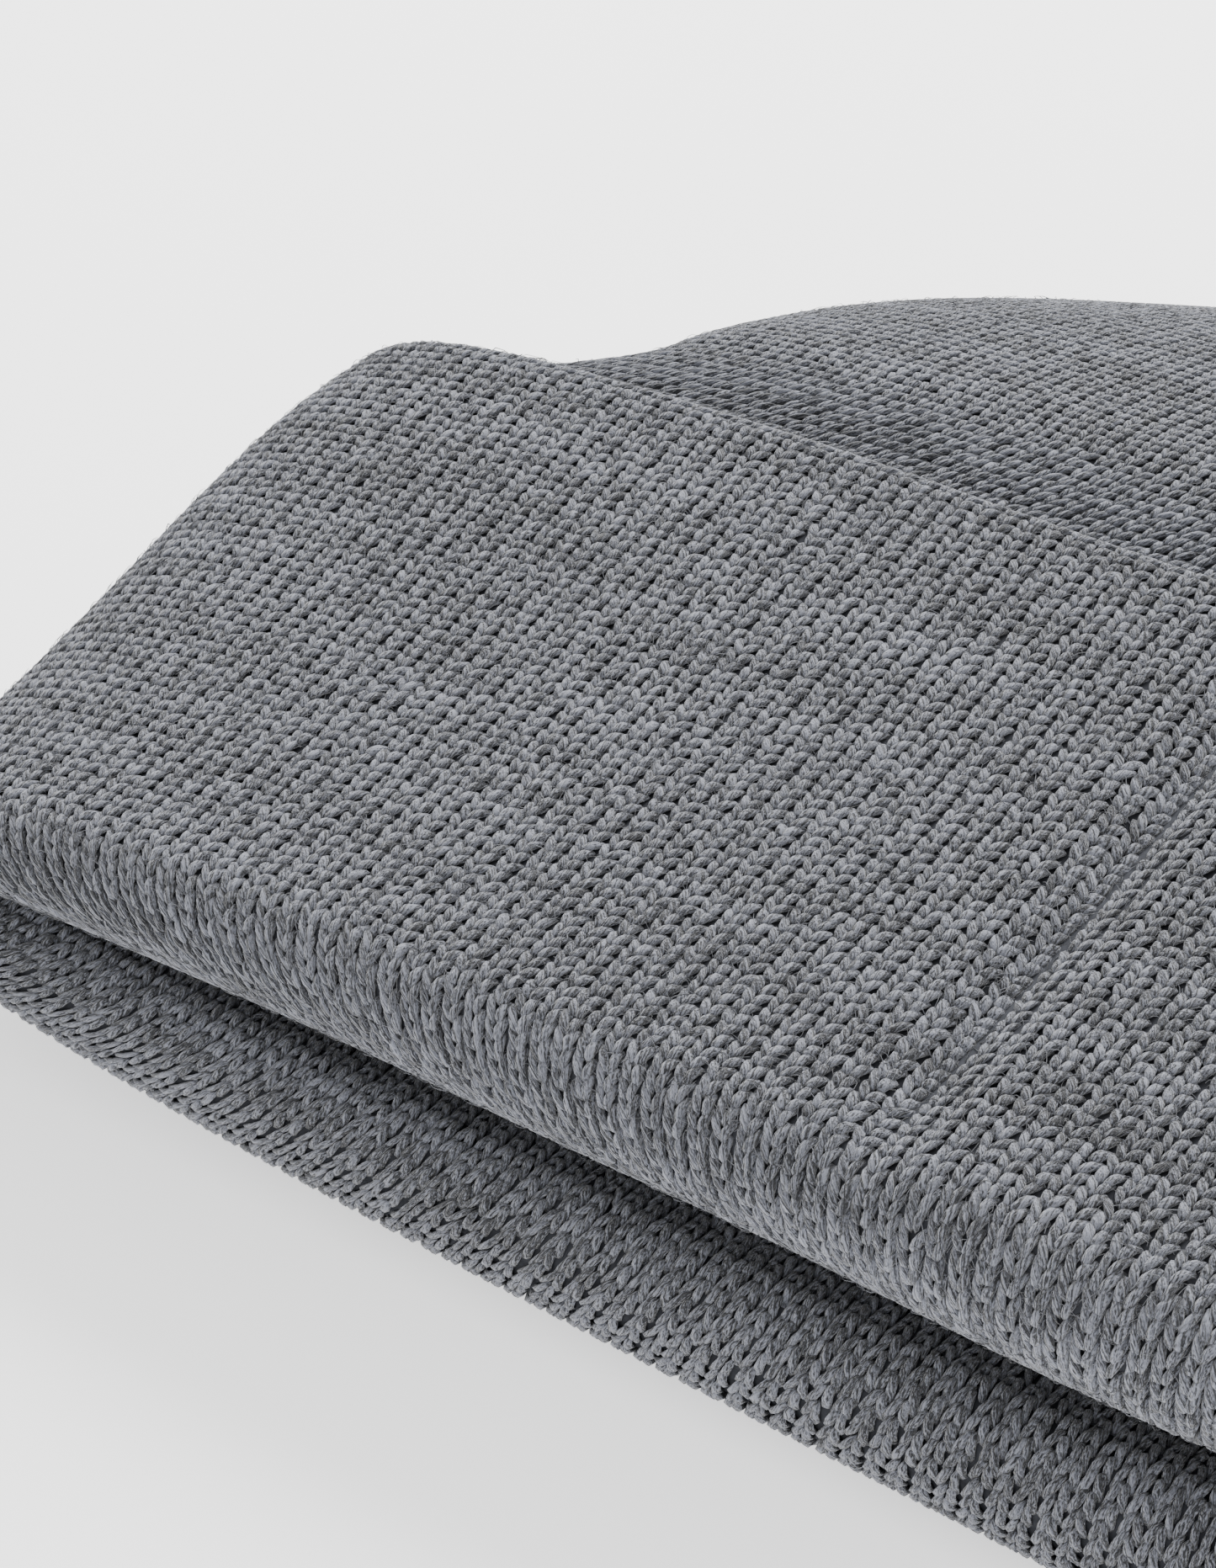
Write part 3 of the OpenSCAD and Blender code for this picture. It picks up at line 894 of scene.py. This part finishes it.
def care_label():
    """A blank tape, folded in two, sewn to the lower lining at its open end."""
    half_turns = np.linspace(-0.5, 0.5, 9) * HALF_TURN
    run = np.linspace(0, 1, 12)[:-1]
    y = np.concatenate([LABEL_Y + LABEL_L * run, LABEL_Y + LABEL_L + LABEL_FOLD * np.cos(half_turns),
                        LABEL_Y + LABEL_L * (1 - run)])
    lift = np.concatenate([0 * run, LABEL_FOLD * (1 + np.sin(half_turns)), 2 * LABEL_FOLD + 0 * run])
    lift = lift + LABEL_CURL * ramp(y, LABEL_Y + 6, LABEL_Y + LABEL_L) + LABEL_CLEAR
    psi = 1.5 * HALF_TURN + np.linspace(-1, 1, 13)[None, :] * math.atan2(LABEL_W / 2, BASE_W)
    tape = Fabric(hat_point(psi, y[:, None], -DOUBLE_PLY - lift[:, None]), swelling=0)
    rows, cols = tape.points.shape[:2]
    a, b = np.meshgrid(np.arange(float(cols)), np.arange(float(rows)))
    label = sheet_mesh("care_label_tape", tape.at(a, b, 0 * a), tape.at(a, b, 0 * a - LABEL_T),
                       label_material)
    n = int(LABEL_W / LABEL_STITCH)
    at = np.linspace(-0.92, 0.92, n + 1)
    step = 1.5 * HALF_TURN + at * math.atan2(LABEL_W / 2, BASE_W)
    s = np.linspace(0, 1, 5)[None, :]
    across = step[:-1, None] + (step[1:, None] - step[:-1, None]) * (0.1 + 0.8 * s)
    depth = DOUBLE_PLY + LABEL_CLEAR + 2 * LABEL_FOLD + 0.22 * np.sin(HALF_TURN * s) - 0.05
    paths = hat_point(across, LABEL_Y + 2.3 + 0 * across, -depth + 0 * across)
    radii = np.full(paths.shape[:2], LABEL_THREAD_R)
    thread = tube_object("care_label_thread", paths, radii, 6, np.zeros(n), thread_material)
    for piece, slot, node in ((label, "label_tape", "care_label"),
                              (thread, "sewing_thread", "label_stitches")):
        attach(piece, "back_half")
        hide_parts(node)


care_label()


# ---------------------------------------------------------------- stage, light and camera

CAMERA_DISTANCE = 0.262     # metres
FLOOR_GLOW = 0.9            # the photo's background is white


def camera():
    """The photograph's view: from the hat's left front, looking at the left third of its cuff."""
    azimuth, elevation = math.radians(37), math.radians(33)
    target = Vector((-64, -57 + CENTRE_Y, 21)) * MM
    back = Vector((math.sin(azimuth) * math.cos(elevation), -math.cos(azimuth) * math.cos(elevation),
                   math.sin(elevation)))
    data = bpy.data.cameras.new("camera")
    data.sensor_fit, data.sensor_width, data.lens = "HORIZONTAL", 36, 112.1
    data.clip_start = 0.005
    obj = bpy.data.objects.new("camera", data)
    obj.location = target + back * CAMERA_DISTANCE
    obj.rotation_euler = back.to_track_quat("Z", "Y").to_euler()
    bpy.context.scene.collection.objects.link(obj)
    bpy.context.scene.camera = obj


def stage():
    """A plain pale floor."""
    half = 3.0
    corners = np.array([(-half, -half, 0), (half, -half, 0), (half, half, 0), (-half, half, 0)]) / MM
    corners[:, 2] = -0.2
    floor = new_mesh("floor", corners, [np.array([[0, 1, 2, 3]])], smooth_shaded=False)
    material = bpy.data.materials.new("floor")
    material.use_nodes = True
    shader = material.node_tree.nodes["Principled BSDF"]
    shader.inputs["Base Color"].default_value = (0.9, 0.9, 0.9, 1)
    shader.inputs["Roughness"].default_value = 1.0
    shader.inputs["Specular IOR Level"].default_value = 0.0
    shader.inputs["Emission Color"].default_value = (1, 1, 1, 1)
    shader.inputs["Emission Strength"].default_value = FLOOR_GLOW
    floor.data.materials.append(material)


def area_light(name, place, size, power, towards=(0, 0, 0)):
    data = bpy.data.lights.new(name, "AREA")
    data.energy, data.size = power, size
    obj = bpy.data.objects.new(name, data)
    obj.location = place
    obj.rotation_euler = (Vector(place) - Vector(towards)).to_track_quat("Z", "Y").to_euler()
    bpy.context.scene.collection.objects.link(obj)


def lights():
    world = bpy.data.worlds.new("studio")
    world.use_nodes = True
    world.node_tree.nodes["Background"].inputs["Color"].default_value = (1, 1, 1, 1)
    world.node_tree.nodes["Background"].inputs["Strength"].default_value = 1.35
    bpy.context.scene.world = world
    area_light("key", (-0.2, 0.75, 0.7), 0.6, 28)
    area_light("fill", (0.25, -1.0, 0.05), 0.7, 8)


camera()
stage()
lights()
